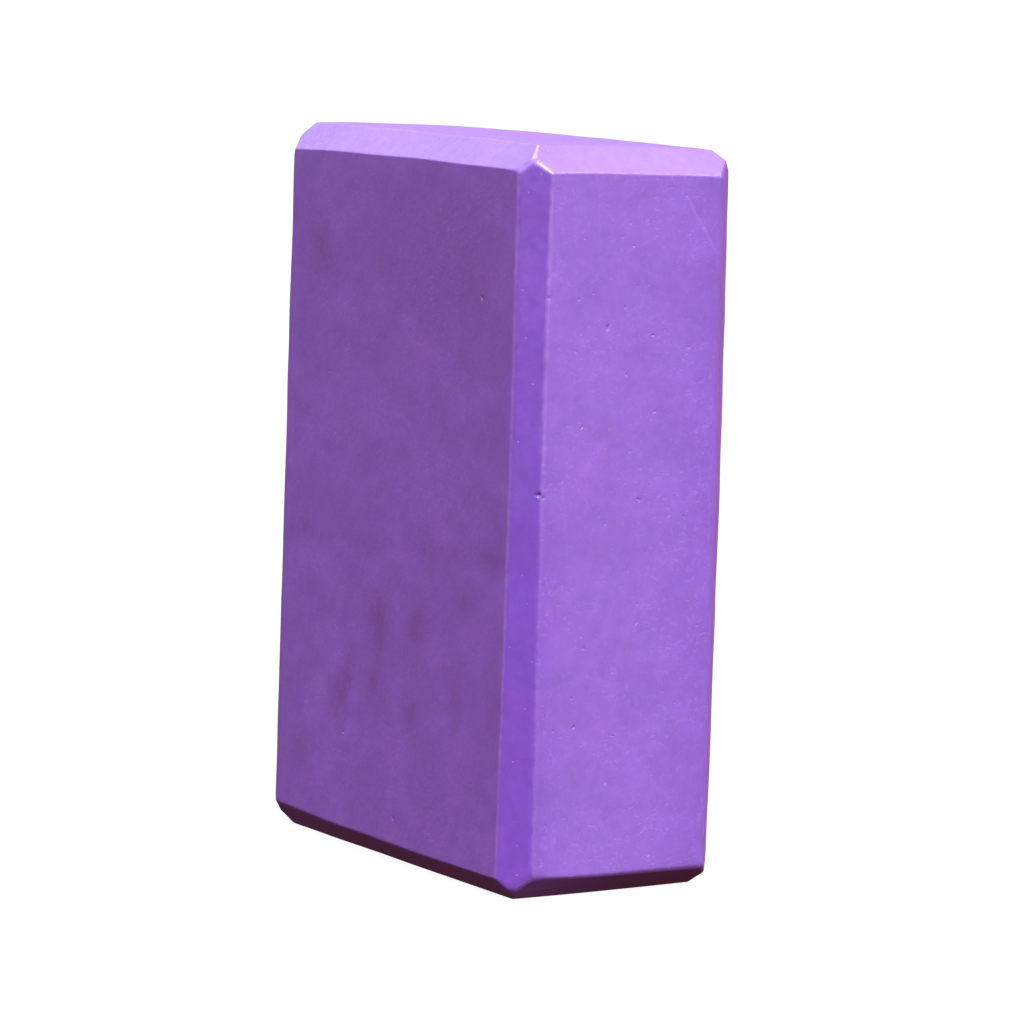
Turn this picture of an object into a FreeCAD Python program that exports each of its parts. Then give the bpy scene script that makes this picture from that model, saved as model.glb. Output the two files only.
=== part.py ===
# Foam yoga block: one solid piece of closed-cell foam, bevelled along all twelve edges.
# It stands on one end. The origin is the middle of that end and +Z points up along its length.
# X runs across the broad face and Y through the thickness. All sizes are in millimetres.

import FreeCAD, Part
import os
import Sketcher

PARTS_FOLDER = "parts"

# Driving dimensions: a 9 by 6 by 3 inch block with a wide bevel and softly worn bevel edges.
DIMENSIONS = [
    ("block_length", 228.6, "height of the block as it stands on its end"),
    ("block_width", 152.4, "across the broad face"),
    ("block_thickness", 76.2, "across the narrow side"),
    ("edge_bevel", 7.4, "leg of the 45 degree bevel on every edge"),
    ("arris_radius", 1.0, "rounding where a bevel meets a face or another bevel"),
]


def make_dimensions(doc):
    """The sheet of driving dimensions, one named cell in each row."""
    sheet = doc.addObject("Spreadsheet::Sheet", "Dimensions")
    for row, (name, value, meaning) in enumerate(DIMENSIONS, start=1):
        sheet.set(f"A{row}", name)
        sheet.set(f"B{row}", str(value))
        sheet.setAlias(f"B{row}", name)
        sheet.set(f"C{row}", meaning)
    doc.recompute()
    return sheet


def origin_plane(body, role):
    """One of the body's own origin planes, such as XY_Plane."""
    return next(plane for plane in body.Origin.OriginFeatures if plane.Role == role)


def draw_centred_rectangle(sketch, across, through):
    """A rectangle centred on the sketch's origin, with its two sides bound to named cells."""
    low_left = FreeCAD.Vector(-1, -1, 0)
    low_right = FreeCAD.Vector(1, -1, 0)
    high_right = FreeCAD.Vector(1, 1, 0)
    high_left = FreeCAD.Vector(-1, 1, 0)
    corners = [low_left, low_right, high_right, high_left]
    for start, end in zip(corners, corners[1:] + corners[:1]):
        sketch.addGeometry(Part.LineSegment(start, end), False)

    side_count = len(corners)
    start_point, end_point = 1, 2
    for side in range(side_count):
        following = (side + 1) % side_count
        sketch.addConstraint(Sketcher.Constraint("Coincident", side, end_point, following, start_point))
    for side, direction in enumerate(["Horizontal", "Vertical", "Horizontal", "Vertical"]):
        sketch.addConstraint(Sketcher.Constraint(direction, side))

    # The sketch's own origin is point 1 of its geometry -1.
    sketch.addConstraint(Sketcher.Constraint("Symmetric", 0, start_point, 2, start_point, -1, 1))

    bottom_side, right_side = 0, 1
    for kind, side, cell in [("DistanceX", bottom_side, across), ("DistanceY", right_side, through)]:
        index = sketch.addConstraint(Sketcher.Constraint(kind, side, start_point, side, end_point, 2.0))
        sketch.renameConstraint(index, cell)
        sketch.setExpression(f"Constraints.{cell}", f"Dimensions.{cell}")


def make_foam_block(doc):
    """The block: an end outline padded to the full length, bevelled, with its arrises rounded."""
    body = doc.addObject("PartDesign::Body", "FoamBlock")
    body.Label = "foam_block"

    outline = body.newObject("Sketcher::SketchObject", "EndOutline")
    outline.AttachmentSupport = [(origin_plane(body, "XY_Plane"), "")]
    outline.MapMode = "FlatFace"
    draw_centred_rectangle(outline, "block_width", "block_thickness")

    billet = body.newObject("PartDesign::Pad", "Billet")
    billet.Profile = outline
    billet.setExpression("Length", "Dimensions.block_length")
    doc.recompute()

    bevels = body.newObject("PartDesign::Chamfer", "Bevels")
    bevels.Base = (billet, ["Face1"])
    bevels.UseAllEdges = True
    bevels.setExpression("Size", "Dimensions.edge_bevel")
    doc.recompute()

    arrises = body.newObject("PartDesign::Fillet", "Arrises")
    arrises.Base = (bevels, ["Face1"])
    arrises.UseAllEdges = True
    arrises.setExpression("Radius", "Dimensions.arris_radius")
    doc.recompute()
    return body


def check(doc, pieces):
    """Stops the build if any object failed or any piece isn't one valid closed solid."""
    for item in doc.Objects:
        failed = {"Invalid", "Error"} & set(item.State)
        if failed:
            raise RuntimeError(f"{item.Label} failed: {sorted(failed)}")
    for piece in pieces:
        shape = piece.Shape
        if shape.isNull() or not shape.isValid() or len(shape.Solids) != 1:
            raise RuntimeError(f"{piece.Label} isn't one valid solid")


def main():
    doc = FreeCAD.newDocument("YogaBlock")
    make_dimensions(doc)
    pieces = [make_foam_block(doc)]
    doc.recompute()
    check(doc, pieces)
    os.makedirs(PARTS_FOLDER, exist_ok=True)
    for piece in pieces:
        piece.Shape.exportStep(os.path.join(PARTS_FOLDER, f"{piece.Label}.step"))
        box = piece.Shape.BoundBox
        print(f"{piece.Label}: {box.XLength:.2f} x {box.YLength:.2f} x {box.ZLength:.2f} mm,"
              f" {piece.Shape.Volume / 1000:.1f} cm3, {len(piece.Shape.Faces)} faces")


main()
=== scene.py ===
# Foam yoga block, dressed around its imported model.
# One piece of firm purple foam stands on its end on a plain white floor, under soft light from above.

import math

import bpy
import numpy as np
from mathutils import Matrix, Vector


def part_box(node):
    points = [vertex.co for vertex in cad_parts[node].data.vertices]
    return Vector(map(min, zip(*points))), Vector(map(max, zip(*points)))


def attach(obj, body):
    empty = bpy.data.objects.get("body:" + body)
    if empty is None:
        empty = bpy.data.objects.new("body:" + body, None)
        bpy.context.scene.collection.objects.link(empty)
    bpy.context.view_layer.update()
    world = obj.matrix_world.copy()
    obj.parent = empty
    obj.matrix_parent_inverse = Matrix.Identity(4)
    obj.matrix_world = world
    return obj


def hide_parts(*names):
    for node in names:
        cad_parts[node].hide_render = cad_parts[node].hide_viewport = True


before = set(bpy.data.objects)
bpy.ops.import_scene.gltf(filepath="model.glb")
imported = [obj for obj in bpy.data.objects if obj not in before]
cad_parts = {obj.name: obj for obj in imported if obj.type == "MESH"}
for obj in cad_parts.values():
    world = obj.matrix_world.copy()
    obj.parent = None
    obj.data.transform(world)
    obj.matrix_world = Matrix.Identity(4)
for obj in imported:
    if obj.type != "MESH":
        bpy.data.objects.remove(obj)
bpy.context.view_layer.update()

# Lengths are in millimetres unless a name or comment says otherwise. The scene itself is in metres.
MM = 0.001
NODE = "foam_block"
LOW, HIGH = (np.array(corner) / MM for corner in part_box(NODE))
CENTRE = (LOW + HIGH) / 2
HALF = (HIGH - LOW) / 2
X, Y, Z = 0, 1, 2

# The block's form: bevels, rounded arrises and the slight swelling of cut foam.
BEVEL_LEG = 7.4
ARRIS_RADIUS = 1.0
SIDE_SWELL = 0.28
BROAD_SWELL = 0.21
# The top end is lower away from its middle, and lower to the right and the back, each as (across, through).
TOP_DOME = (0.40, 0.56)
TOP_FALL = (0.22, 0.72)
# The slow wander of the bevels and the ripple of the faces: heights, lengths and random seeds.
BEVEL_WANDER = 0.12
WANDER_LENGTH = 24.0
WANDER_SEED = 10
FACE_RIPPLE = 0.05
RIPPLE_LENGTH = 11.0
RIPPLE_SEED = 31
# Each is a sum of this many waves, with lengths spread between these multiples.
RIPPLE_WAVES = 18
RIPPLE_SPREAD = (1.0, 2.6)

# The cutter was guided by hand, so the bevels are uneven. An edge is named by the two faces that it joins,
# with the bevel's leg on the first face and on the second, at the edge's low end, middle and high end.
BEVELS = {
    ("+x", "-y"): ((9.3, 7.7, 7.7), (7.4, 6.3, 6.9)),
    ("+x", "+y"): ((5.1, 6.0, 7.2), (6.5, 6.2, 8.0)),
    ("-x", "-y"): ((7.4, 7.4, 7.4), (6.4, 7.4, 7.9)),
    ("-x", "+z"): ((6.2, 7.2, 7.4), (6.5, 7.3, 7.4)),
    ("-y", "+z"): ((8.4, 7.6, 7.6), (7.6, 7.4, 7.4)),
    ("-y", "-z"): ((7.8, 6.3, 6.6), (6.4, 6.3, 6.0)),
    ("+x", "+z"): ((8.0, 7.8, 7.6), (8.1, 7.5, 7.5)),
    ("+x", "-z"): ((7.4, 6.7, 6.2), (6.7, 7.4, 10.2)),
    ("+y", "+z"): ((7.4, 7.0, 5.4), (7.4, 7.0, 6.0)),
    ("+y", "-z"): ((7.4, 7.4, 7.4), (7.4, 6.0, 3.4)),
}

# Handling has rounded the corners further: the corner, the worn spot's distance in from its three faces,
# the radius that it adds and how far it reaches.
NEAR_TOP_CORNER = (1, -1, 1)
CORNER_WEAR = [
    (NEAR_TOP_CORNER, (5.6, 1.8, 5.6), 1.2, 4.5),
    (NEAR_TOP_CORNER, (4.2, 3.4, 4.2), 0.8, 4.0),
    (NEAR_TOP_CORNER, (5.8, 5.4, 2.0), 0.8, 4.0),
    (NEAR_TOP_CORNER, (2.0, 5.5, 6.1), 0.6, 4.0),
    ((-1, -1, 1), (3.7, 3.7, 3.7), 4.2, 9.0),
    ((1, -1, -1), (4.0, 4.2, 3.6), 1.6, 6.0),
    ((-1, -1, -1), (3.7, 3.7, 3.7), 2.0, 8.0),
    ((1, 1, 1), (3.7, 3.7, 3.7), 0.3, 6.0),
    ((1, 1, -1), (3.7, 3.7, 3.7), 0.5, 6.0),
    ((-1, 1, 1), (3.7, 3.7, 3.7), 1.6, 7.0),
    ((-1, 1, -1), (3.7, 3.7, 3.7), 1.6, 7.0),
]
# The near corner at the foot is knocked off flat: the corner, and the cut's legs along its three edges.
CUT_CORNER = (1, -1, -1)
CORNER_CUT = (11.4, 13.6, 11.2)
# Arrises that are softer or crisper than the rest: the edge's two faces, the arris's distance in from each,
# the radius added at its low end and at its high end, and how far that reaches.
SOFT_ARRISES = [
    (("+x", "-y"), (0.0, 7.9), (5.0, 1.0), 5.5),
    (("+x", "-y"), (6.8, 0.0), (0.9, 2.2), 3.5),
    (("+x", "+y"), (0.0, 6.0), (2.6, 2.6), 6.5),
    (("+x", "-z"), (0.0, 6.8), (0.8, 2.4), 4.0),
    (("-y", "-z"), (0.0, 6.6), (1.2, 0.2), 4.0),
    (("-y", "+z"), (0.0, 7.8), (-0.5, -0.5), 3.0),
]
# The added radius starts this many bevel legs in from the edge's ends.
SOFT_FROM = 0.5
# The far upright edge was never milled and kept its skin, painted redder as a warm reflection: from this
# much towards its bevel's way of facing.
KEPT_SKIN = 0.95
# The side is painted darker along its two upright edges, as shade where it turns towards the bevels: the
# share of the milled colour, how far in it reaches from the bevel, and the height that it stops at.
EDGE_SHADES = {"-y": (0.42, 7.0, 150.0), "+y": (0.24, 13.0, 300.0)}
EDGE_SHADE_FADES_OVER = 50.0

# How far each arris is painted pale: the face that it bounds, the face around the corner, and the amounts
# at its low end and at its high end. Below 0 counts as none, so that rubbing starts part of the way up.
# Mostly this is rubbing, but along the bevel over the +X side it is a painted highlight.
# The arrises that aren't named are as milled, and duller than the faces.
RUBBED_AND_HIGHLIT = {
    ("-y", "+x"): (0.4, 0.6),
    ("+x", "-y"): (-0.9, 1.0),
    # Along the lower edge of the bevel over the +X side, the pale is a painted highlight.
    ("+x", "+z"): (1.0, 1.0),
    ("+x", "+y"): (0.1, 0.1),
    ("+z", "-y"): (0.0, 0.0),
    ("+z", "+x"): (0.1, 0.1),
    ("-y", "+z"): (0.0, 0.0),
    ("-y", "-z"): (0.1, 0.1),
    ("-y", "-x"): (0.0, 0.0),
    ("+x", "-z"): (0.3, 0.3),
    ("+y", "+x"): (0.3, 0.3),
}
RUBBED_ELSEWHERE = -0.8
# The same for the short arrises between the bevels at the near top corner, by the face each one leans to.
# There the pale lines are painted highlights.
CORNER_PAINTED_HIGHLIGHTS = {"+z": 1.0, "+x": 1.0, "-y": 0.6}
RUBBED_AT_CORNERS = 0.1
# The least lean to a third face that makes a point part of a corner, and how fast the rubbing grows.
AT_CORNER = 0.2
RUB_GAIN = 1.5
# How softly the foam of the faces turns into the foam of the bevels.
BEVEL_BLUR = 0.3
# Half the angle between a face and the bevel beside it.
HALFWAY = math.pi / 8

# The mesh's grid: even steps over the faces and the bevels, and close ones over the arrises.
GRID_STEP = 1.7
BEVEL_STEPS = 7
ARRIS_BAND = 1.2
ARRIS_STEPS = 8
# Over this width the shift that follows a bevel eases out into the face.
GRID_EASES_OVER = 4 * BEVEL_LEG
# A point this close to a side of the box counts as on it.
ON_SIDE = 1e-9
PROJECTION_SWEEPS = 80
# The gap between the sides where the surface is laid out flat.
UV_GAP = 4.0

# Burst cells: pits as (across, up, radius, depth), measured from the middle of the face's foot.
BROAD_PITS = [(50.5, 181.5, 0.7, 0.8), (-26.0, 37.0, 0.5, 0.35), (7.0, 15.5, 0.55, 0.35)]
SIDE_PITS = [
    (17.3, 214.5, 0.6, 0.13), (-2.1, 206.0, 0.4, 0.15), (-18.2, 201.3, 0.4, 0.15), (-0.6, 199.0, 0.5, 0.22),
    (-14.6, 184.5, 0.45, 0.15), (-2.9, 180.4, 0.55, 0.13), (-9.0, 174.2, 0.9, 0.26), (7.0, 172.0, 0.5, 0.2),
    (-20.0, 167.0, 0.6, 0.11), (20.2, 168.5, 0.6, 0.13), (-1.7, 160.0, 0.4, 0.15), (8.6, 148.8, 0.5, 0.2),
    (-17.1, 144.3, 0.5, 0.18), (0.5, 136.8, 0.45, 0.15), (4.0, 122.0, 0.6, 0.22), (-7.6, 114.8, 0.4, 0.15),
    (1.4, 100.2, 0.4, 0.15), (4.7, 84.0, 0.5, 0.18), (-14.0, 77.0, 0.4, 0.15), (-18.0, 62.0, 0.45, 0.15),
    (-17.0, 53.0, 0.6, 0.25), (-24.6, 52.3, 0.5, 0.15), (-4.4, 35.2, 0.4, 0.15), (-26.5, 23.3, 0.5, 0.18),
    (11.7, 12.4, 0.5, 0.18),
]
SCATTERED_PITS = {"+x": 3, "-x": 26, "-y": 2, "+y": 6, "+z": 7, "-z": 7}
SCATTER_RADIUS = (0.28, 0.5)
SCATTER_DEPTH = (0.10, 0.22)
SCATTER_CLEAR = 8.0
PIT_SEED = 4
# A pit takes the place of a square of grid cells, this many each way.
PIT_BLOCK = 4
# Rings of a pit from its rim to its floor, as shares of its radius and of its depth.
# A pit is deepest above its middle, so that its lower wall catches the light.
PIT_RINGS = [(1.5, 0.0), (1.1, 0.04), (0.9, 0.3), (0.65, 0.68), (0.35, 0.92)]
PIT_SKEW = 0.65
PIT_UNEVEN = 0.25
PIT_STRETCH = 0.9
# A torn cell is pale, fully so at PALE_FROM. A deeper one is painted dark instead, as shade in the hollow,
# from the first of the two depths below and fully at the second. The nicks get a little painted shade too.
PIT_PALE = 0.8
PALE_FROM = 0.08
DEEP_SHADE_FROM = (0.16, 0.36)
PIT_SHADE = 0.8
NICK_SHADE = 0.35

# Nicks knocked out of the near upright arris: height, place across it, depth, half width and half height.
# Across is below 0 on the bevel and above 0 on the side. The second nick lies beside the first, so the grid
# is close around the first and the last.
NICKS = [(124.2, -0.9, 0.55, 0.95, 0.75), (123.3, 0.7, 0.3, 0.9, 0.5), (183.5, 0.3, 0.25, 1.0, 0.5)]
NICKED_HEIGHTS = (NICKS[0][0], NICKS[-1][0])
NICK_LINES = np.linspace(-1.5, 1.5, 8)
NICK_INSETS = np.array([-1.6, 1.6, 2.0])

# Hand marks and painted shade on the broad face: across, up, half width, half height, lean and strength,
# below 0 where pale.
SMUDGES_AND_SHADE = [
    (-27.2, 52.0, 5.6, 9.5, 0.42, 1.0),
    (-29.0, 39.5, 4.0, 4.0, 0.3, 0.3),
    (-5.0, 78.0, 7.5, 8.5, 0.0, 1.0),
    (-6.0, 65.0, 4.8, 9.0, 0.0, 0.45),
    (-7.3, 56.3, 2.6, 4.5, 0.2, 0.6),
    (-4.8, 49.5, 6.5, 5.0, 0.0, 0.62),
    (20.5, 77.5, 6.5, 5.5, 0.2, 1.0),
    (16.5, 67.5, 6.5, 10.0, 0.1, 0.45),
    (16.0, 49.5, 5.0, 5.0, 0.0, 0.55),
    (45.4, 86.8, 5.2, 5.0, 0.1, 0.65),
    (42.0, 64.0, 5.5, 6.0, 0.0, 0.4),
    (43.0, 53.5, 4.5, 7.0, 0.0, 0.6),
    (64.5, 58.0, 4.5, 13.0, 0.0, 0.5),
    # These three darken the face along the crease: painted shade.
    (61.0, 103.0, 8.0, 5.0, 0.0, 0.55),
    (38.0, 101.5, 10.0, 3.5, 0.0, 0.3),
    (-58.0, 100.0, 8.0, 4.0, 0.0, 0.5),
    (-52.5, 28.5, 6.5, 7.0, 0.0, 0.6),
    (26.0, 20.0, 5.5, 9.0, 0.0, 0.3),
    (-47.0, 189.0, 9.0, 9.0, 0.0, 0.65),
    # These two make the face darker towards its top.
    (30.0, 190.0, 30.0, 22.0, 0.0, 0.3),
    (5.0, 192.0, 80.0, 38.0, 0.0, 0.3),
    # A long thin band down the left edge: painted shade where the bevel turns away from the light.
    (-69.0, 115.0, 1.3, 130.0, -0.004, 0.45),
    (24.0, 106.0, 4.0, 7.0, 0.0, 0.35),
    (-41.6, 50.2, 3.6, 4.0, 0.0, -0.8),
    (62.0, 89.0, 2.2, 2.0, 0.0, -0.5),
]
# How steeply a hand mark or painted shade falls off at its edge.
SMUDGE_AND_SHADE_EDGE = 1.5
# A faint crease across the broad face, drawn as a line of painted shade.
CREASE_SHADE = {"height": 100.2, "rise": 0.045, "width": 1.8, "strength": 0.3}
# A thin pale scratch on the +X side, from one point to the other as (across, up).
SCRATCH = ((17.3, 214.5), (30.0, 195.5))
SCRATCH_WIDTH = 0.9
SCRATCH_FADES_FROM = 0.7
SCRATCH_STARTS_OVER = 1.0
# How it wavers, as a length and a distance aside.
SCRATCH_WAVERS = (5.0, 0.8)
# It shows only on the outside of the side: not at the first depth in from the box, fully at the second.
SCRATCH_DEPTHS = (1.0, 0.6)


def unit(vectors):
    """The vectors, each scaled to length 1."""
    return vectors / np.linalg.norm(vectors, axis=1, keepdims=True)


def ripple(points, wavelength, seed):
    """A smooth random field, mostly within -1 to 1, made of plane waves in random directions."""
    rng = np.random.default_rng(seed)
    directions = unit(rng.normal(size=(RIPPLE_WAVES, 3)))
    lengths = wavelength * rng.uniform(*RIPPLE_SPREAD, RIPPLE_WAVES)
    phases = rng.uniform(0, 2 * math.pi, RIPPLE_WAVES)
    waves_per_mm = directions * (2 * math.pi / lengths)[:, None]
    return np.sin(points @ waves_per_mm.T + phases).sum(axis=1) / math.sqrt(RIPPLE_WAVES)


# The block's mesh: a closed box grid, pulled in to the bevelled form.


def grid_lines(half, extra=()):
    """Grid lines along one axis: close over each arris, even over the bevels and the face."""
    bevel = np.linspace(0, BEVEL_LEG - ARRIS_BAND, BEVEL_STEPS + 1)
    arris = np.linspace(BEVEL_LEG - ARRIS_BAND, BEVEL_LEG + ARRIS_BAND, ARRIS_STEPS + 1)
    edge = np.concatenate([bevel[:-1], arris])
    count = round((2 * half - 2 * edge[-1]) / GRID_STEP)
    face = np.linspace(edge[-1], 2 * half - edge[-1], count + 1)
    lines = np.concatenate([edge[:-1], face, 2 * half - edge[:-1][::-1]]) - half
    return np.unique(np.concatenate([lines, extra]))


def flat_axes(axis):
    """The two axes that lie in a face whose normal is the given axis."""
    return [a for a in (X, Y, Z) if a != axis]


class Shell:
    """The box's surface as a grid of quads, with round patches set in where the pits are."""

    def __init__(self, lines):
        self.lines = lines
        shape = [len(line) for line in lines]
        index = np.indices(shape).reshape(3, -1).T
        index = index[((index == 0) | (index == np.array(shape) - 1)).any(axis=1)]
        self.number = np.full(shape, -1)
        self.number[tuple(index.T)] = np.arange(len(index))
        self.points = [np.stack([lines[a][index[:, a]] for a in (X, Y, Z)], axis=1)]
        self.depths = [np.zeros(len(index))]
        self.count = len(index)
        self.faces = []
        self.sides = []

    def add_side(self, axis, sign, pits, rng):
        """One side of the box, with its pits, as faces that look outwards."""
        layer = np.take(self.number, -1 if sign > 0 else 0, axis=axis)
        keep = np.ones((layer.shape[0] - 1, layer.shape[1] - 1), dtype=bool)
        # Quads built across the two flat axes look along +X and +Z, but along -Y.
        flip = (sign > 0) == (axis == Y)
        made = []
        for pit in pits:
            made += self.add_pit(axis, sign, layer, keep, pit, rng)
        corners = [layer[:-1, :-1], layer[1:, :-1], layer[1:, 1:], layer[:-1, 1:]]
        made += np.stack(corners, axis=-1)[keep].tolist()
        self.faces += [face[::-1] for face in made] if flip else made
        self.sides += [(axis, sign)] * len(made)

    def add_pit(self, axis, sign, layer, keep, pit, rng):
        """Cuts a square block out of the side's grid and fills it with rings that sink into a pit."""
        across, up, radius, deepest = pit
        a, b = flat_axes(axis)
        reach = PIT_BLOCK // 2
        i = int(np.abs(self.lines[a] - across).argmin())
        j = int(np.abs(self.lines[b] - up).argmin())
        block = (slice(i - reach, i + reach), slice(j - reach, j + reach))
        if not keep[block].all():
            return []
        keep[block] = False
        span = range(PIT_BLOCK)
        walk = [(k, 0) for k in span] + [(PIT_BLOCK, k) for k in span]
        walk += [(PIT_BLOCK - k, PIT_BLOCK) for k in span] + [(0, PIT_BLOCK - k) for k in span]
        rim = [int(layer[i - reach + p, j - reach + q]) for p, q in walk]
        square = np.array([(self.lines[a][i - reach + p], self.lines[b][j - reach + q]) for p, q in walk])
        middle = np.array([across, up])
        outward = square - middle
        turn = rng.uniform(0, math.pi)
        along = unit(outward) @ np.array([math.cos(turn), math.sin(turn)])
        swing = PIT_STRETCH * rng.uniform(0, 1) * (along ** 2 - 0.5)
        swing += PIT_UNEVEN * rng.uniform(-1, 1, len(walk))
        outline = unit(outward) * radius * (1 + swing)[:, None]

        faces = []
        rise = np.array([0.0, PIT_SKEW * radius])
        rings = [(middle + (outward + outline * PIT_RINGS[0][0]) / 2, 0.0)]
        for share, depth in PIT_RINGS:
            rings.append((middle + outline * share + rise * max(1 - share, 0), deepest * depth))
        for ring, depth in rings:
            ids = self.add_points(axis, sign, ring, depth)
            turned = zip(rim, rim[1:] + rim[:1], ids[1:] + ids[:1], ids)
            faces += [list(quad) for quad in turned]
            rim = ids
        floor = self.add_points(axis, sign, (middle + rise)[None], deepest)[0]
        faces += [[p, q, floor] for p, q in zip(rim, rim[1:] + rim[:1])]
        return faces

    def add_points(self, axis, sign, flat, depth):
        """Points on one side of the box, to be sunk by a depth once the block is bevelled."""
        points = np.empty((len(flat), 3))
        points[:, axis] = sign * HALF[axis]
        points[:, flat_axes(axis)] = flat
        self.points.append(points)
        self.depths.append(np.full(len(flat), depth))
        ids = list(range(self.count, self.count + len(flat)))
        self.count += len(flat)
        return ids


def face_named(name):
    """A face's axis and the sign of its side, from a name such as +x."""
    return "xyz".index(name[1]), 1 if name[0] == "+" else -1


def bevel_legs(points):
    """The bevels' legs near each point, by the axis of the face that a leg is on, then the other face's."""
    share = points / HALF
    legs = {}
    for first, second in ((X, Y), (X, Z), (Y, Z)):
        along = share[:, 3 - first - second]
        both = [np.full(len(points), BEVEL_LEG) for _ in range(2)]
        for names, shapes in BEVELS.items():
            faces = [face_named(name) for name in names]
            if [axis for axis, _ in faces] == [first, second]:
                near = np.logical_and.reduce([points[:, axis] * sign > 0 for axis, sign in faces])
                for leg, (low, middle, high) in zip(both, shapes):
                    curve = middle + (high - low) / 2 * along + ((high + low) / 2 - middle) * along ** 2
                    leg[near] = curve[near]
        wander = BEVEL_WANDER * ripple(points, WANDER_LENGTH, seed=WANDER_SEED + first + second)
        legs[first, second] = both[0] + wander
        legs[second, first] = both[1] + wander
    return legs


def follow_bevels(points, legs):
    """Slides the grid along each face, so that its close lines follow the uneven bevels."""
    moved = points.copy()
    on_side = np.abs(np.abs(points) - HALF) < ON_SIDE
    for axis in (X, Y, Z):
        inset = HALF[axis] - np.abs(points[:, axis])
        ease = (BEVEL_LEG + GRID_EASES_OVER - inset) / GRID_EASES_OVER
        pull = np.clip(inset / BEVEL_LEG, 0, 1) * np.clip(ease, 0, 1)
        shift = np.zeros(len(points))
        shares = np.zeros(len(points))
        for side in flat_axes(axis):
            weight = on_side[:, side].astype(float)
            shift += weight * (legs[side, axis] - BEVEL_LEG)
            shares += weight
        shift = shift / np.maximum(shares, 1) * pull
        moved[:, axis] -= np.sign(points[:, axis]) * shift
    return moved


def arris_radius(points):
    """The radius of the rounded arrises near each point."""
    radius = np.full(len(points), ARRIS_RADIUS)
    for corner, inset, added, reach in CORNER_WEAR:
        spot = np.array(corner) * (HALF - np.array(inset))
        away = np.linalg.norm(points - spot, axis=1) / reach
        radius += added * np.clip(1 - away ** 2, 0, 1)
    for names, insets, (low, high), reach in SOFT_ARRISES:
        faces = [face_named(name) for name in names]
        gaps = [HALF[axis] - sign * points[:, axis] - inset for (axis, sign), inset in zip(faces, insets)]
        away = np.hypot(*gaps) / reach
        end = 3 - sum(axis for axis, _ in faces)
        share = (points[:, end] / HALF[end] + 1) / 2
        clear = np.clip((HALF[end] - np.abs(points[:, end])) / BEVEL_LEG - SOFT_FROM, 0, 1)
        radius += (low + (high - low) * share) * clear * np.clip(1 - away ** 2, 0, 1)
    return radius


def core_planes(points, legs, radius):
    """The planes of the core, the block less its arris rounding: normals and limits, for one octant."""
    count = len(points)
    planes = []
    for axis in (X, Y, Z):
        normal = np.zeros((count, 3))
        normal[:, axis] = 1
        planes.append((normal, HALF[axis] - radius))
    for first, second in ((X, Y), (X, Z), (Y, Z)):
        normal = np.zeros((count, 3))
        normal[:, first] = 1 / legs[second, first]
        normal[:, second] = 1 / legs[first, second]
        length = np.linalg.norm(normal, axis=1)
        limit = (normal @ HALF - 1) / length - radius
        planes.append((normal / length[:, None], limit))
    normal = 1 / np.array(CORNER_CUT)
    length = np.linalg.norm(normal)
    limit = (normal @ HALF - 1) / length - radius
    limit[~(points * CUT_CORNER > 0).all(axis=1)] = np.inf
    planes.append((np.tile(normal / length, (count, 1)), limit))
    return planes


def bevelled(points, legs, radius):
    """The nearest points of the bevelled block with rounded arrises, and its outward normals there."""
    folded = np.abs(points)
    planes = core_planes(points, legs, radius)
    # Alternating projections settle on the nearest point of the core.
    core = folded.copy()
    carried = np.zeros((len(planes), len(points), 3))
    for _ in range(PROJECTION_SWEEPS):
        for k, (normal, limit) in enumerate(planes):
            wanted = core + carried[k]
            over = np.maximum((wanted * normal).sum(axis=1) - limit, 0)
            core = wanted - over[:, None] * normal
            carried[k] = wanted - core
    normals = unit(folded - core)
    surface = core + radius[:, None] * normals
    return np.copysign(surface, points), np.copysign(normals, points)


def swollen(points):
    """Lets the faces stand slightly proud of their edges, and the top end fall away behind."""
    x, y, z = (points / HALF).T
    moved = points.copy()
    moved[:, X] -= SIDE_SWELL * x * z ** 2
    moved[:, Y] -= BROAD_SWELL * y * x ** 2
    fall = TOP_DOME[0] * x ** 2 + TOP_DOME[1] * y ** 2 + TOP_FALL[0] * x + TOP_FALL[1] * y
    moved[:, Z] -= fall * (z + 1) / 2
    return moved


def nick_depth(points):
    """How deep the knocks on the near upright arris go at each point."""
    depth = np.zeros(len(points))
    arris = np.array([HALF[X], -HALF[Y] + BEVEL_LEG])
    on_bevel = np.array([1, 1]) / math.sqrt(2)
    on_side = np.array([0, 1])
    for height, across, deepest, half_width, half_height in NICKS:
        middle = arris + across * (on_side if across > 0 else on_bevel)
        aside = np.hypot(*(points[:, [X, Y]] - middle).T) / half_width
        above = (points[:, Z] + HALF[Z] - height) / half_height
        depth += deepest * np.clip(1 - aside ** 2 - above ** 2, 0, 1)
    return depth


def face_masks(normals):
    """How far each point is on a bevel, at an arris and on the unmilled edge, from 0 to 1."""
    steep = np.sort(np.abs(normals), axis=1)
    to_face = steep[:, 2]
    to_bevel = (steep[:, 2] + steep[:, 1]) / math.sqrt(2)
    bevel = np.clip(0.5 + (to_bevel - to_face) / BEVEL_BLUR, 0, 1)
    between = np.arccos(np.clip(np.maximum(to_face, to_bevel), 0, 1))
    arris = np.clip(between / HALFWAY, 0, 1)
    to_far_edge = (normals[:, X] + normals[:, Y]) / math.sqrt(2)
    kept_skin_and_reflection = np.clip((to_far_edge - KEPT_SKIN) / (1 - KEPT_SKIN) + 1, 0, 1)
    return bevel * (1 - kept_skin_and_reflection), arris, kept_skin_and_reflection


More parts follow.
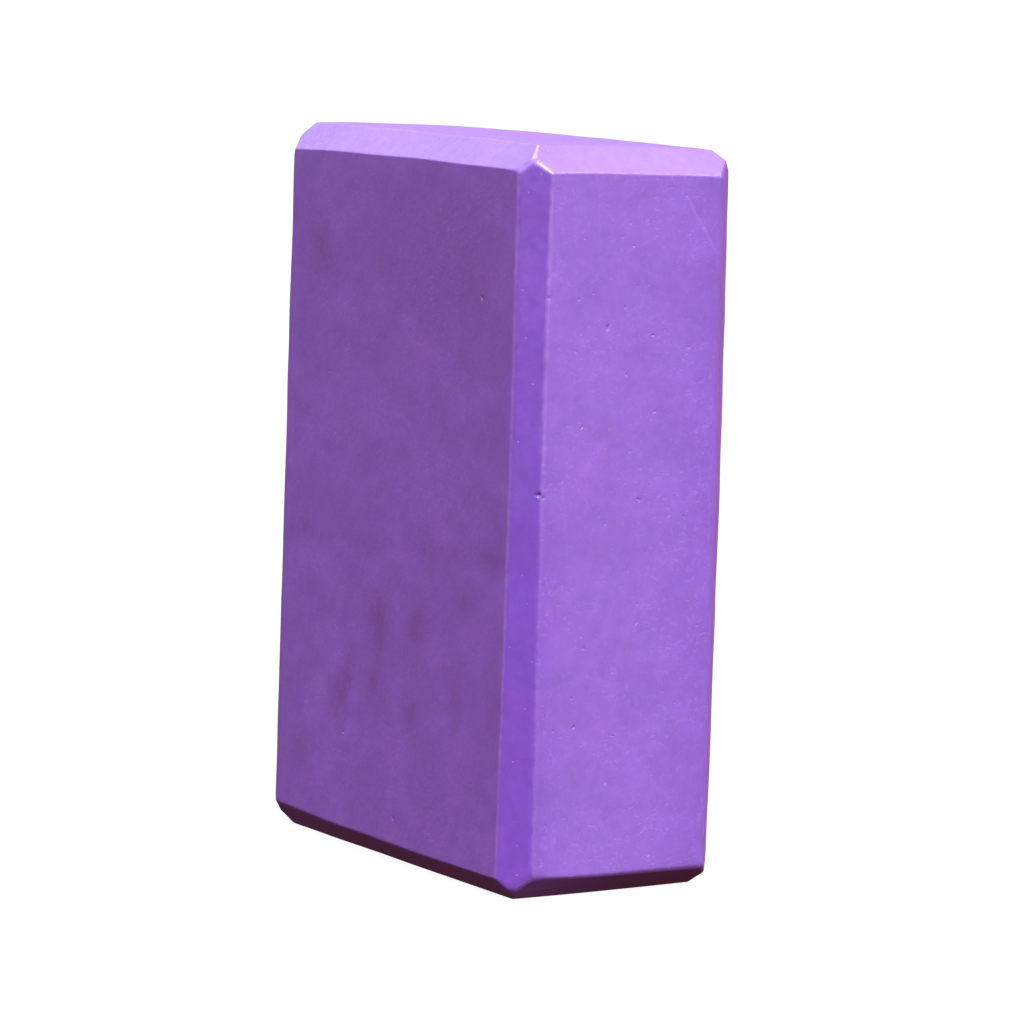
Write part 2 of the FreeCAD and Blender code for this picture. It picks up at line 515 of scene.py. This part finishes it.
def edge_shade_mask(points, normals):
    """How far the side is painted darker along its upright edges, as shade, from 0 to 1."""
    mask = np.zeros(len(points))
    for name, (share, reach, top) in EDGE_SHADES.items():
        axis, sign = face_named(name)
        inset = np.maximum(HALF[axis] - sign * points[:, axis] - BEVEL_LEG, 0)
        fade = np.clip((top - HALF[Z] - points[:, Z]) / EDGE_SHADE_FADES_OVER, 0, 1)
        mask += share * fade * np.exp(-(inset / reach) ** 2)
    return mask * (normals[:, X] > math.cos(HALFWAY))


def rubbed_and_highlit_mask(points, normals, arris):
    """How far each arris is painted pale, by rubbing or as a painted highlight, up to 1, and below 0 where
    dull.
    """
    order = np.argsort(-np.abs(normals), axis=1)
    amount = np.full(len(normals), RUBBED_ELSEWHERE)
    for names, (low, high) in RUBBED_AND_HIGHLIT.items():
        faces = [face_named(name) for name in names]
        here = np.ones(len(normals), dtype=bool)
        for rank, (axis, sign) in enumerate(faces):
            here &= (order[:, rank] == axis) & (normals[:, axis] * sign > 0)
        end = 3 - sum(axis for axis, _ in faces)
        share = (points[here, end] / HALF[end] + 1) / 2
        amount[here] = np.clip(low + (high - low) * share, 0, 1)
    at_corner = np.abs(normals).min(axis=1) > AT_CORNER
    amount[at_corner] = RUBBED_AT_CORNERS
    at_near_top = at_corner & (normals * NEAR_TOP_CORNER > 0).all(axis=1)
    for name, share in CORNER_PAINTED_HIGHLIGHTS.items():
        amount[at_near_top & (order[:, 0] == face_named(name)[0])] = share
    return amount * np.clip(RUB_GAIN * arris, 0, 1)


def smudge_and_shade_mask(points):
    """Soft hand marks on the front broad face, with painted shade along a faint crease and down its left
    edge.
    """
    across = points[:, X]
    up = points[:, Z] + HALF[Z]
    mask = np.zeros(len(points))
    for middle, height, half_width, half_height, lean, strength in SMUDGES_AND_SHADE:
        sideways = across - middle - lean * (up - height)
        away = (sideways / half_width) ** 2 + ((up - height) / half_height) ** 2
        mask += strength * np.exp(-away ** SMUDGE_AND_SHADE_EDGE)
    line = CREASE_SHADE["height"] + CREASE_SHADE["rise"] * across
    mask += CREASE_SHADE["strength"] * np.exp(-((up - line) / CREASE_SHADE["width"]) ** 2)
    front = points[:, Y] < BEVEL_LEG - HALF[Y]
    return np.clip(mask, -1, 1) * front


def scattered_pits(axis, count, rng):
    """Pits strewn over one side, clear of its bevels."""
    a, b = flat_axes(axis)
    room = HALF - BEVEL_LEG - SCATTER_CLEAR
    pits = []
    for _ in range(count):
        place = rng.uniform(-room[a], room[a]), rng.uniform(-room[b], room[b])
        pits.append((*place, rng.uniform(*SCATTER_RADIUS), rng.uniform(*SCATTER_DEPTH)))
    return pits


def build_shell():
    """The box grid with every pit set in."""
    nick_heights = np.concatenate([height - HALF[Z] + NICK_LINES for height in NICKED_HEIGHTS])
    across = BEVEL_LEG - HALF[Y] + NICK_INSETS
    shell = Shell([grid_lines(HALF[X]), grid_lines(HALF[Y], across), grid_lines(HALF[Z], nick_heights)])
    rng = np.random.default_rng(PIT_SEED)
    for axis in (X, Y, Z):
        for sign in (1, -1):
            name = ("+" if sign > 0 else "-") + "xyz"[axis]
            placed = {"-y": BROAD_PITS, "+x": SIDE_PITS}.get(name, [])
            pits = [(across, up - HALF[Z], radius, depth) for across, up, radius, depth in placed]
            pits += scattered_pits(axis, SCATTERED_PITS[name], rng)
            shell.add_side(axis, sign, pits, rng)
    return shell


def lay_out_uv(mesh, sheet, sides):
    """Lays the six sides out flat on one square sheet, without overlaps."""
    wide, thick, tall = 2 * HALF
    rows = [0, tall + UV_GAP, tall + thick + 2 * UV_GAP]
    places = {
        (Y, -1): (0, rows[0]),
        (Y, 1): (wide + UV_GAP, rows[0]),
        (X, 1): (2 * (wide + UV_GAP), rows[0]),
        (X, -1): (0, rows[1]),
        (Z, 1): (tall + UV_GAP, rows[1]),
        (Z, -1): (0, rows[2]),
    }
    size = tall + wide + 3 * UV_GAP
    layer = mesh.uv_layers.new(name="OFBake")
    uv = np.empty((len(mesh.loops), 2))
    for polygon, (axis, sign) in zip(mesh.polygons, sides):
        flat = flat_axes(axis)
        if (axis, sign) == (X, -1):
            flat = flat[::-1]
        loops = list(polygon.loop_indices)
        corner = sheet[list(polygon.vertices)]
        uv[loops] = corner[:, flat] + HALF[flat] + np.array(places[axis, sign]) + UV_GAP / 2
    layer.data.foreach_set("uv", (uv / size).ravel())


def foam_masks(points, normals, pit_depth, nick):
    """What the material needs to know at each point: the kind of foam, its wear and hand marks, and where
    shade and highlights are painted.
    """
    bevel, arris, kept_skin_and_reflection = face_masks(normals)
    shallow, deep = DEEP_SHADE_FROM
    deep_shade = np.clip((pit_depth - shallow) / (deep - shallow), 0, 1)
    torn = PIT_PALE * np.clip(pit_depth / PALE_FROM, 0, 1) * (1 - deep_shade)
    return {
        "bevel": bevel,
        "rubbed_and_highlit": np.maximum(rubbed_and_highlit_mask(points, normals, arris), torn),
        "cut": 1 - np.abs(normals[:, Y]),
        # How far a point faces up or down: the ends get painted shade, and the bevels there a painted
        # highlight.
        "end": np.abs(normals[:, Z]),
        # Painted shade in the deeper pits and in the nicks.
        "hollow_shade": PIT_SHADE * deep_shade + NICK_SHADE * np.clip(nick / shallow, 0, 1),
        "smudge_and_shade": smudge_and_shade_mask(points),
        "kept_skin_and_reflection": kept_skin_and_reflection,
        "edge_shade": edge_shade_mask(points, normals),
    }


def make_block():
    """The foam block's mesh, with masks for its material and a flat layout of its surface."""
    shell = build_shell()
    sheet = np.concatenate(shell.points)
    pit_depth = np.concatenate(shell.depths)
    legs = bevel_legs(sheet)
    laid = follow_bevels(sheet, legs)
    # The first pass only finds where each point comes to lie, for the radius there.
    radius = np.full(len(laid), ARRIS_RADIUS)
    points, normals = bevelled(laid, legs, radius)
    points, normals = bevelled(laid, legs, arris_radius(points))
    nick = nick_depth(points)
    masks = foam_masks(points, normals, pit_depth, nick)
    # The foot stays flat on the floor.
    off_the_floor = 1 - np.clip(-normals[:, Z], 0, 1)
    sunk = pit_depth + nick - FACE_RIPPLE * off_the_floor * ripple(points, RIPPLE_LENGTH, seed=RIPPLE_SEED)
    points = swollen(points - normals * sunk[:, None])

    mesh = bpy.data.meshes.new("foam_block_dressed")
    mesh.from_pydata(((points + CENTRE) * MM).tolist(), [], shell.faces)
    mesh.shade_smooth()
    for name, values in masks.items():
        mesh.attributes.new(name, "FLOAT", "POINT").data.foreach_set("value", values)
    lay_out_uv(mesh, sheet, shell.sides)
    mesh.validate()
    block = bpy.data.objects.new("foam_block_dressed", mesh)
    bpy.context.collection.objects.link(block)
    return block


# Materials.

# The value that noise lies around.
NOISE_MEAN = 0.5
# A mix node's sockets by number, because its names repeat: share, first colour, second colour and result.
MIX_SHARE, MIX_FIRST, MIX_SECOND, MIX_RESULT = 0, 6, 7, 2


class Shader:
    """Short ways to add shader nodes and join them. A value may be a number, a colour or a socket."""

    def __init__(self, tree):
        self.tree = tree
        tree.nodes.clear()

    def node(self, kind, inputs=(), **settings):
        made = self.tree.nodes.new(kind)
        for name, value in settings.items():
            setattr(made, name, value)
        for key, value in dict(inputs).items():
            self.put(made.inputs[key], value)
        return made

    def put(self, socket, value):
        if isinstance(value, bpy.types.NodeSocket):
            self.tree.links.new(value, socket)
        else:
            socket.default_value = value

    def math(self, operation, first, second=0.0, clamp=False):
        settings = {"operation": operation, "use_clamp": clamp}
        return self.node("ShaderNodeMath", {0: first, 1: second}, **settings).outputs[0]

    def vector(self, operation, **inputs):
        """Vector arithmetic. Inputs are first, second and scale, as the operation needs them."""
        sockets = {"first": 0, "second": 1, "scale": "Scale"}
        inputs = {sockets[name]: value for name, value in inputs.items()}
        return self.node("ShaderNodeVectorMath", inputs, operation=operation).outputs[0]

    def mask(self, name):
        return self.node("ShaderNodeAttribute", attribute_name=name).outputs["Fac"]

    def noise(self, where, size, detail=3.0, roughness=0.55):
        """Fractal noise whose largest lumps are about the given size."""
        inputs = {"Vector": where, "Scale": 1 / (size * MM), "Detail": detail, "Roughness": roughness}
        return self.node("ShaderNodeTexNoise", inputs).outputs["Fac"]

    def cells(self, where, size):
        """Distance to the nearest of many strewn points, in units of the given size."""
        inputs = {"Vector": where, "Scale": 1 / (size * MM)}
        return self.node("ShaderNodeTexVoronoi", inputs).outputs["Distance"]

    def warped(self, where, size, amount):
        """The place, pushed about by noise, so that what is drawn there has ragged edges."""
        inputs = {"Vector": where, "Scale": 1 / (size * MM), "Detail": 2.0}
        push = self.node("ShaderNodeTexNoise", inputs).outputs["Color"]
        push = self.vector("SUBTRACT", first=push, second=(NOISE_MEAN, NOISE_MEAN, NOISE_MEAN))
        push = self.vector("SCALE", first=push, scale=amount * MM)
        return self.vector("ADD", first=where, second=push)

    def product(self, *factors):
        result = factors[0]
        for factor in factors[1:]:
            result = self.math("MULTIPLY", result, factor)
        return result

    def total(self, *terms):
        result = terms[0]
        for term in terms[1:]:
            result = self.math("ADD", result, term)
        return result

    def blend(self, share, first, second):
        """The first colour, mixed with a share of the second."""
        inputs = {MIX_SHARE: share, MIX_FIRST: first, MIX_SECOND: second}
        return self.node("ShaderNodeMix", inputs, data_type="RGBA").outputs[MIX_RESULT]

    def ramp(self, value, low, high, to_low=0.0, to_high=1.0):
        inputs = {"Value": value, "From Min": low, "From Max": high, "To Min": to_low, "To Max": to_high}
        return self.node("ShaderNodeMapRange", inputs, interpolation_type="SMOOTHSTEP").outputs["Result"]

    def layer(self, where, size, span, gives=(0.0, 1.0), detail=2.0, roughness=0.55):
        """Noise with lumps of about the given size, mapped from a span of its values to what it gives."""
        return self.ramp(self.noise(where, size, detail, roughness), *span, *gives)


# Foam colours, in linear light.
SKIN_COLOUR = (0.316, 0.122, 0.690, 1)
# The kept skin of the far upright edge, painted redder as a warm reflection.
KEPT_SKIN_AND_REFLECTION_COLOUR = (0.347, 0.130, 0.635, 1)
CUT_COLOUR = (0.312, 0.143, 0.690, 1)
# Painted shade: a darker copy of the cut colour for the ends, against the strong light from above.
SHADED_END_COLOUR = (0.263, 0.121, 0.520, 1)
MILLED_COLOUR = (0.212, 0.071, 0.594, 1)
# Painted highlight: a paler, pinker copy of the milled colour for the bevels that face up or down.
HIGHLIT_MILLED_END_COLOUR = (0.238, 0.091, 0.530, 1)
# Rubbed arrises, and the painted highlights on some of them.
WORN_AND_HIGHLIGHT_COLOUR = (0.390, 0.205, 0.760, 1)
# Hand marks, and the painted shade along the crease and the left edge.
SMUDGE_AND_SHADE_COLOUR = (0.225, 0.062, 0.400, 1)
PALE_COLOUR = (0.450, 0.240, 0.780, 1)
# Painted shade in the deeper pits and the nicks.
PIT_SHADE_COLOUR = (0.075, 0.020, 0.180, 1)

# Where one kind of foam passes into the next, by how far the surface faces that way.
FACING = (0.2, 0.8)
# The milled foam's ragged edge: lump size, how far it strays, and where it passes over.
MILLED_LUMPS = 1.8
MILLED_STRAYS = 0.9
MILLED_EDGE = (0.1, 0.9)

# Layers of noise: the size of the lumps, the span of noise that is used and what that span gives.
CLOUDS = {"size": 24.0, "span": (0.3, 0.7), "gives": (0.95, 1.05), "detail": 4.0}
MOTTLE = {"size": 5.0, "span": (0.25, 0.75), "gives": (0.94, 1.06), "detail": 5.0, "roughness": 0.65}
FLECK = {"size": 1.3, "span": (0.25, 0.75), "gives": (0.98, 1.02)}
HUE = {"size": 14.0, "span": (0.3, 0.7), "gives": (0.4982, 0.5018)}
SMUDGE_AND_SHADE_PATCHES = {"size": 4.5, "span": (0.3, 0.7), "gives": (0.45, 1.0), "detail": 4.0, "roughness": 0.7}
RUBBED_AND_HIGHLIT_PATCHES = {"size": 3.0, "span": (0.3, 0.65), "gives": (0.35, 1.0), "detail": 4.0, "roughness": 0.6}
STROKE_BREAKS = {"size": 1.3, "span": (0.52, 0.68), "detail": 1.0}
STROKE_PATCHES = {"size": 24.0, "span": (0.35, 0.65), "gives": (0.35, 1.0)}
PINHOLE_CLUSTERS = {"size": 9.0, "span": (0.44, 0.62), "gives": (0.1, 1.0)}
DULLNESS = {"size": 2.2, "span": (0.25, 0.75), "gives": (0.48, 0.60), "detail": 4.0}

# Torn strokes and pinholes: their sizes and edges, and their strength on the other kinds of foam.
STROKE_SIZE = 2.6
STROKE_EDGE = (0.02, 0.15)
STROKES_ON_BEVELS = 0.15
STROKES_ON_SKIN = 0.4
PINHOLE_SPACING = 4.0
PINHOLE_EDGE = (0.03, 0.10)
PINHOLE_WARP = (0.9, 0.7)
PINHOLES_ON_BEVELS = 0.7
PINHOLES_ON_SKIN = 0.2

# How pale and how deep each of these marks is, and how strong the hand marks and painted shade are where
# dark, and the hand marks where pale.
STROKE_PALE, STROKE_DEPTH = 0.38, 0.045
PINHOLE_PALE, PINHOLE_DEPTH = 0.75, 0.10
SCRATCH_PALE = 0.5
SMUDGE_AND_SHADE_DARK, SMUDGE_PALE = 0.75, 0.6

# Small relief, as a size and a height, and its share left on the bevels.
CELL_WALLS = (0.55, 0.010)
GRAIN = (1.6, 0.030)
WAVES = (9.0, 0.15)
RELIEF_ON_BEVELS = 0.4
# Bevels and rubbed arrises are smoother by these amounts, and dull arrises rougher.
BEVEL_GLOSS = 0.06
RUBBED_GLOSS = 0.15


def strokes(s, where):
    """Short torn strokes that the cutter left, as a mask. The bevels and the skin have fewer."""
    away = s.math("ABSOLUTE", s.math("SUBTRACT", s.noise(where, STROKE_SIZE, detail=2.0), NOISE_MEAN))
    lines = s.ramp(away, *STROKE_EDGE, 1.0, 0.0)
    mask = s.product(lines, s.layer(where, **STROKE_BREAKS), s.layer(where, **STROKE_PATCHES))
    mask = s.product(mask, s.ramp(s.mask("bevel"), 0.0, 1.0, 1.0, STROKES_ON_BEVELS))
    return s.product(mask, s.ramp(s.mask("cut"), *FACING, STROKES_ON_SKIN, 1.0))


def scratch(s, where):
    """One thin pale scratch near the top of the +X side, as a mask."""
    place = s.node("ShaderNodeSeparateXYZ", {0: s.warped(where, *SCRATCH_WAVERS)}).outputs
    (first, low), (last, high) = SCRATCH
    length = math.hypot(last - first, high - low)
    turn = (last - first) / length, (high - low) / length
    across = s.math("SUBTRACT", place["Y"], first * MM)
    up = s.math("SUBTRACT", place["Z"], low * MM)
    along = s.total(s.product(across, turn[0]), s.product(up, turn[1]))
    aside = s.math("SUBTRACT", s.product(across, turn[1]), s.product(up, turn[0]))
    line = s.ramp(s.math("ABSOLUTE", aside), 0.0, SCRATCH_WIDTH * MM, 1.0, 0.0)
    starts = s.ramp(along, 0.0, SCRATCH_STARTS_OVER * MM)
    ends = s.ramp(along, SCRATCH_FADES_FROM * length * MM, length * MM, 1.0, 0.0)
    on_side = s.ramp(place["X"], *((HALF[X] - depth) * MM for depth in SCRATCH_DEPTHS))
    return s.product(line, starts, ends, on_side)


def burst_cells(s, where):
    """Pinholes that the mesh is too coarse for, in clusters, as a mask. The skin has few of them."""
    spots = s.cells(s.warped(where, *PINHOLE_WARP), PINHOLE_SPACING)
    spots = s.ramp(spots, *PINHOLE_EDGE, 1.0, 0.0)
    on_bevels = s.product(s.mask("bevel"), PINHOLES_ON_BEVELS)
    clusters = s.math("MAXIMUM", s.layer(where, **PINHOLE_CLUSTERS), on_bevels)
    opened = s.ramp(s.mask("cut"), *FACING, PINHOLES_ON_SKIN, 1.0)
    return s.product(spots, clusters, s.math("MAXIMUM", opened, s.mask("bevel")))


def plain_colour(s, where):
    """The colours of the kinds of foam: skin, the kept skin, cut sides and milled bevels, with painted
    shade on the ends, a painted highlight on the bevels that face up or down, and a painted reflection on
    the kept skin.
    """
    end = s.ramp(s.mask("end"), *FACING)
    colour = s.blend(s.ramp(s.mask("cut"), *FACING), SKIN_COLOUR, CUT_COLOUR)
    # The far upright edge, with its painted warm reflection.
    colour = s.blend(s.mask("kept_skin_and_reflection"), colour, KEPT_SKIN_AND_REFLECTION_COLOUR)
    # Painted shade on the ends.
    colour = s.blend(end, colour, SHADED_END_COLOUR)
    ragged = s.math("SUBTRACT", s.noise(where, MILLED_LUMPS, detail=2.0), NOISE_MEAN)
    milled = s.ramp(s.total(s.mask("bevel"), s.product(ragged, MILLED_STRAYS)), *MILLED_EDGE)
    # Painted shade along the side's upright edges, in the milled colour.
    milled = s.math("MAXIMUM", milled, s.mask("edge_shade"))
    # The bevels that face up or down get the painted highlight.
    return s.blend(milled, colour, s.blend(end, MILLED_COLOUR, HIGHLIT_MILLED_END_COLOUR))


def foam_colour(s, where, pale):
    """The foam's colour, clouded and flecked, with hand marks and wear, painted highlights on some arrises,
    and painted shade on the ends, in the pits and nicks, along the crease and along edges.
    """
    lumps = [s.layer(where, **kind) for kind in (CLOUDS, MOTTLE, FLECK)]
    inputs = {"Color": plain_colour(s, where), "Value": s.product(*lumps), "Hue": s.layer(where, **HUE)}
    colour = s.node("ShaderNodeHueSaturation", inputs).outputs["Color"]
    # Hand marks and painted shade, broken into patches.
    smudge_and_shade = s.product(s.mask("smudge_and_shade"), s.layer(where, **SMUDGE_AND_SHADE_PATCHES))
    colour = s.blend(s.math("MULTIPLY", smudge_and_shade, SMUDGE_AND_SHADE_DARK, clamp=True), colour, SMUDGE_AND_SHADE_COLOUR)
    colour = s.blend(s.math("MULTIPLY", smudge_and_shade, -SMUDGE_PALE, clamp=True), colour, PALE_COLOUR)
    # Rubbed arrises and painted highlights, broken into patches.
    rubbed_and_highlit = s.product(s.mask("rubbed_and_highlit"), s.layer(where, **RUBBED_AND_HIGHLIT_PATCHES))
    colour = s.blend(s.math("ADD", rubbed_and_highlit, pale, clamp=True), colour, WORN_AND_HIGHLIGHT_COLOUR)
    # Painted shade in the deeper pits and the nicks.
    return s.blend(s.mask("hollow_shade"), colour, PIT_SHADE_COLOUR)


def foam_height(s, where, sunk):
    """Small relief in millimetres: cell walls, grain and waves, with the small hollows taken out."""
    size, height = CELL_WALLS
    walls = s.product(s.cells(where, size), height)
    size, height = GRAIN
    grain = s.product(s.noise(where, size, detail=3.0, roughness=0.6), height)
    size, height = WAVES
    waves = s.product(s.noise(where, size, detail=3.0), height)
    relief = s.product(s.total(grain, waves), s.ramp(s.mask("bevel"), 0.0, 1.0, 1.0, RELIEF_ON_BEVELS))
    return s.math("SUBTRACT", s.total(walls, relief), sunk)


def foam_dullness(s, where):
    """The foam's roughness, lower on the bevels and where an arris is rubbed."""
    rough = s.math("SUBTRACT", s.layer(where, **DULLNESS), s.product(s.mask("bevel"), BEVEL_GLOSS))
    return s.math("SUBTRACT", rough, s.product(s.mask("rubbed_and_highlit"), RUBBED_GLOSS))


def foam_material():
    """Firm closed-cell foam, matt, with a soft sheen."""
    material = bpy.data.materials.new("purple_foam")
    material.use_nodes = True
    s = Shader(material.node_tree)
    where = s.node("ShaderNodeTexCoord").outputs["Object"]
    torn = strokes(s, where)
    burst = burst_cells(s, where)
    scratched = s.product(scratch(s, where), SCRATCH_PALE)
    pale = s.total(s.product(torn, STROKE_PALE), s.product(burst, PINHOLE_PALE), scratched)
    sunk = s.total(s.product(torn, STROKE_DEPTH), s.product(burst, PINHOLE_DEPTH))
    height = foam_height(s, where, sunk)
    bump = s.node("ShaderNodeBump", {"Height": height, "Distance": MM, "Strength": 1.0})
    inputs = {
        "Base Color": foam_colour(s, where, pale),
        "Roughness": foam_dullness(s, where),
        "Normal": bump.outputs["Normal"],
        "IOR": 1.5,
        "Specular IOR Level": 1.0,
        "Sheen Weight": 0.04,
        "Sheen Roughness": 0.4,
    }
    foam = s.node("ShaderNodeBsdfPrincipled", inputs)
    s.node("ShaderNodeOutputMaterial", {"Surface": foam.outputs["BSDF"]})
    return material


def floor_material():
    """A plain white sweep, lit enough from within to stay white far from the block."""
    material = bpy.data.materials.new("white_floor")
    material.use_nodes = True
    s = Shader(material.node_tree)
    inputs = {
        "Base Color": FLOOR_COLOUR,
        "Roughness": 0.9,
        "Specular IOR Level": 0.0,
        "Emission Color": (1, 1, 1, 1),
        "Emission Strength": FLOOR_GLOW,
    }
    paint = s.node("ShaderNodeBsdfPrincipled", inputs)
    s.node("ShaderNodeOutputMaterial", {"Surface": paint.outputs["BSDF"]})
    return material


# Floor, light and camera, in metres.
FLOOR_RADIUS = 12.0
COVE_RADIUS = 6.0
COVE_STEPS = 12
FLOOR_SEGMENTS = 64
FLOOR_COLOUR = (0.05, 0.05, 0.05, 1)
FLOOR_GLOW = 0.96
LAMP_DISTANCE = 3.0
LIGHT_ABOVE = (0.18, 0.18, 0.18, 1)
LIGHT_BELOW = (0.104, 0.026, 0.018, 1)
HORIZON_BLUR = 0.06

# Soft lights as (name, azimuth and elevation in degrees, angular size in degrees, strength, colour).
# Azimuth 0 is in front of the broad face, on the -Y side, and 90 is on the +X side.
LIGHTS = [
    ("right", 80.0, 45.0, 20.0, 3.65, (1.0, 1.0, 1.0)),
    ("front_fill", 5.0, 50.0, 40.0, 1.0, (1.0, 1.0, 1.0)),
    ("back_top", 167.0, 58.0, 45.0, 1.6, (1.0, 1.0, 1.0)),
    ("left", -82.0, 34.0, 45.0, 0.95, (1.0, 1.0, 1.0)),
    ("top_left", -80.0, 70.0, 25.0, 1.5, (1.0, 1.0, 1.0)),
    ("floor_bounce", 80.0, -30.0, 30.0, 0.13, (1.0, 0.8, 0.35)),
]

# Where the photograph was taken from, about the block's foot, and the lens.
CAMERA_AZIMUTH = math.radians(58.272)
CAMERA_ELEVATION = math.radians(6.587)
CAMERA_ROLL = math.radians(1.844)
CAMERA_DISTANCE = 1.53756
AIM_SIDEWAYS = 0.005446
AIM_HEIGHT = 0.10937
SENSOR_WIDTH_MM = 36.0
FOCAL_LENGTH_MM = 171.14
CLIP_NEAR = 0.05
CLIP_FAR = 100.0


def make_floor():
    """A flat round floor that curves up into a plain wall all around, far from the block."""
    turns = np.linspace(0, math.pi / 2, COVE_STEPS + 1)
    around = [2 * math.pi * k / FLOOR_SEGMENTS for k in range(FLOOR_SEGMENTS)]
    vertices = [(0.0, 0.0, 0.0)]
    for turn in turns:
        radius = FLOOR_RADIUS + COVE_RADIUS * math.sin(turn)
        height = COVE_RADIUS * (1 - math.cos(turn))
        vertices += [(radius * math.cos(a), radius * math.sin(a), height) for a in around]
    faces = []
    for k in range(FLOOR_SEGMENTS):
        after = (k + 1) % FLOOR_SEGMENTS
        faces.append((0, 1 + k, 1 + after))
        for ring in range(COVE_STEPS):
            low = 1 + ring * FLOOR_SEGMENTS
            high = low + FLOOR_SEGMENTS
            faces.append((low + k, high + k, high + after, low + after))
    mesh = bpy.data.meshes.new("floor")
    mesh.from_pydata(vertices, [], faces)
    mesh.shade_smooth()
    mesh.materials.append(floor_material())
    floor = bpy.data.objects.new("floor", mesh)
    # The floor is there to be seen: it throws no light on the block and stops none from below.
    floor.visible_diffuse = False
    floor.visible_glossy = False
    floor.visible_shadow = False
    bpy.context.collection.objects.link(floor)
    return floor


def towards(azimuth, elevation):
    """The unit vector from the block towards a place around it."""
    flat = math.cos(elevation)
    return Vector((math.sin(azimuth) * flat, -math.cos(azimuth) * flat, math.sin(elevation)))


def make_lights():
    """Broad soft lights, far off, so that each face is lit evenly."""
    for name, azimuth, elevation, size, strength, colour in LIGHTS:
        lamp = bpy.data.lights.new(name, "SUN")
        lamp.energy = strength
        lamp.angle = math.radians(size)
        lamp.color = colour
        light = bpy.data.objects.new(name, lamp)
        direction = towards(math.radians(azimuth), math.radians(elevation))
        light.rotation_euler = direction.to_track_quat("Z", "Y").to_euler()
        light.location = direction * LAMP_DISTANCE
        bpy.context.collection.objects.link(light)


def make_world():
    """A dim pale room above the horizon and a dark warm ground below it."""
    world = bpy.data.worlds.new("studio")
    bpy.context.scene.world = world
    world.use_nodes = True
    s = Shader(world.node_tree)
    direction = s.node("ShaderNodeTexCoord").outputs["Generated"]
    height = s.node("ShaderNodeSeparateXYZ", {0: direction}).outputs["Z"]
    colour = s.blend(s.ramp(height, -HORIZON_BLUR, HORIZON_BLUR), LIGHT_BELOW, LIGHT_ABOVE)
    background = s.node("ShaderNodeBackground", {"Color": colour, "Strength": 1.0})
    s.node("ShaderNodeOutputWorld", {"Surface": background.outputs["Background"]})


def make_camera():
    """The photograph's camera: a long lens from a little above, slightly rolled."""
    back = towards(CAMERA_AZIMUTH, CAMERA_ELEVATION)
    level = Vector((math.cos(CAMERA_AZIMUTH), math.sin(CAMERA_AZIMUTH), 0))
    upright = back.cross(level)
    right = level * math.cos(CAMERA_ROLL) + upright * math.sin(CAMERA_ROLL)
    up = upright * math.cos(CAMERA_ROLL) - level * math.sin(CAMERA_ROLL)
    aim = level * AIM_SIDEWAYS + Vector((0, 0, AIM_HEIGHT))
    lens = bpy.data.cameras.new("camera")
    lens.sensor_width = SENSOR_WIDTH_MM
    lens.lens = FOCAL_LENGTH_MM
    lens.clip_start = CLIP_NEAR
    lens.clip_end = CLIP_FAR
    camera = bpy.data.objects.new("camera", lens)
    turn = Matrix((right, up, back)).transposed().to_4x4()
    camera.matrix_world = Matrix.Translation(aim + back * CAMERA_DISTANCE) @ turn
    bpy.context.collection.objects.link(camera)
    bpy.context.scene.camera = camera


block = make_block()
block.data.materials.append(foam_material())
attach(block, "root")
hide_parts(NODE)
make_floor()
make_lights()
make_world()
make_camera()
bpy.context.scene.view_settings.view_transform = "Standard"
